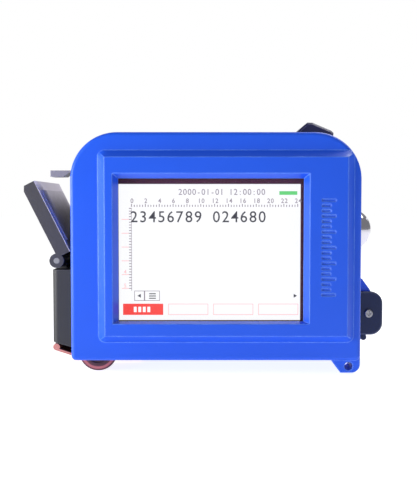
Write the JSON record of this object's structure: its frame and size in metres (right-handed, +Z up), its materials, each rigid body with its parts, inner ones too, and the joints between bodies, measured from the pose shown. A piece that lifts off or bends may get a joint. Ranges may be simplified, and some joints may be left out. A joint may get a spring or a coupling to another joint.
{
  "type": "date code inkjet printer",
  "caption": "Handheld inkjet date coder: a blue casing with a touch screen, an ink cartridge bay with an open latch flap, guide rollers and a thumb trigger.",
  "frame": {"origin": "middle of the object's footprint, with the flap open as stored, on the surface that its rollers stand on", "axes": "+X to the operator's right, +Y away from the operator, who faces the screen, +Z up"},
  "size_m": [0.149, 0.094, 0.0999],
  "materials": {
    "case_blue": "satin moulded plastic",
    "holder_dark": "fine texture",
    "flap_grey": "fine texture",
    "tab_grey": "satin",
    "pad_grey": "soft foam",
    "steel": "turned",
    "chrome": "polished",
    "roller_rubber": "moulded",
    "hub_black": "moulded",
    "magnet": "sintered",
    "touch_glass": "clear",
    "display": "lit display",
    "seal_rubber": "soft",
    "board": "solder resist",
    "brass": "plated",
    "guard_copper": "rolled strip",
    "cartridge_black": "moulded",
    "battery_wrap": "shrink sleeve",
    "plate_navy": "powder coat",
    "trigger_slate": "satin",
    "switch_black": "moulded"
  },
  "bodies": {
    "housing": {"front_shell": "case_blue", "rear_shell": "case_blue", "shell_seal": "seal_rubber", "shell_screws": "steel", "screen_gasket": "seal_rubber", "touch_panel": "touch_glass", "lcd_module": "display", "lcd_bracket": "steel", "lcd_screws": "steel", "board_spacers": "brass", "main_board": "board", "board_screws": "steel", "power_button_body": "chrome", "power_button_nut": "steel", "power_button_spring": "steel", "trigger_spring": "steel", "trigger_switch": "switch_black", "strap_bracket": "case_blue", "bracket_screws": "steel", "anchor_plate": "plate_navy", "anchor_screw": "steel", "strap_pin": "plate_navy", "encoder_sensor": "board", "cartridge_holder": "holder_dark", "holder_screws": "steel", "ink_cartridge": "cartridge_black", "nozzle_plate": "brass", "contact_block": "switch_black", "contact_pins": "brass", "nozzle_guard": "guard_copper", "hinge_pin": "steel", "release_spring": "steel", "battery_pack": "battery_wrap", "battery_cover": "case_blue", "cover_screws": "steel", "port_board": "board", "usb_socket": "steel", "power_socket": "switch_black", "encoder_axle": "steel", "rear_roller_axle": "steel", "right_roller_axle": "steel"},
    "flap": {"latch_flap": "flap_grey", "flap_pad": "pad_grey"},
    "catch": {"release_tab": "tab_grey"},
    "trigger": {"trigger_button": "trigger_slate"},
    "power_cap": {"power_button_cap": "chrome"},
    "encoder_roller": {"encoder_tyre": "roller_rubber", "encoder_hub": "hub_black", "encoder_magnet": "magnet"},
    "rear_roller": {"rear_roller_tyre": "roller_rubber", "rear_roller_hub": "hub_black"},
    "right_roller": {"right_roller_tyre": "roller_rubber", "right_roller_hub": "hub_black"}
  },
  "joints": [
    {"name": "flap_hinge", "type": "hinge", "parent": "housing", "child": "flap", "pos_m": [-0.06123, 0.01445, 0.0425], "axis": [0, -1, 0], "range_deg": [-26.6, 73.4]},
    {"name": "catch_slide", "type": "slide", "parent": "housing", "child": "catch", "axis": [1, 0, 0], "range_m": [0, 0.003], "stiffness_N_per_m": 500, "springref_m": -0.0005, "deforming": ["release_spring"]},
    {"name": "trigger_press", "type": "slide", "parent": "housing", "child": "trigger", "axis": [-0.3875, 0, -0.9219], "range_m": [0, 0.0025], "stiffness_N_per_m": 800, "springref_m": -0.0005, "deforming": ["trigger_spring"]},
    {"name": "power_press", "type": "slide", "parent": "housing", "child": "power_cap", "axis": [-1, 0, 0], "range_m": [0, 0.0015], "stiffness_N_per_m": 1500, "springref_m": -0.0005, "deforming": ["power_button_spring"]},
    {"name": "encoder_roller_spin", "type": "hinge", "parent": "housing", "child": "encoder_roller", "pos_m": [-0.04188, -0.02805, 0.0076], "axis": [0, 1, 0], "continuous": true},
    {"name": "rear_roller_spin", "type": "hinge", "parent": "housing", "child": "rear_roller", "pos_m": [-0.00528, 0.03595, 0.0076], "axis": [0, 1, 0], "continuous": true},
    {"name": "right_roller_spin", "type": "hinge", "parent": "housing", "child": "right_roller", "pos_m": [0.03873, 0.03595, 0.0076], "axis": [0, 1, 0], "continuous": true}
  ]
}
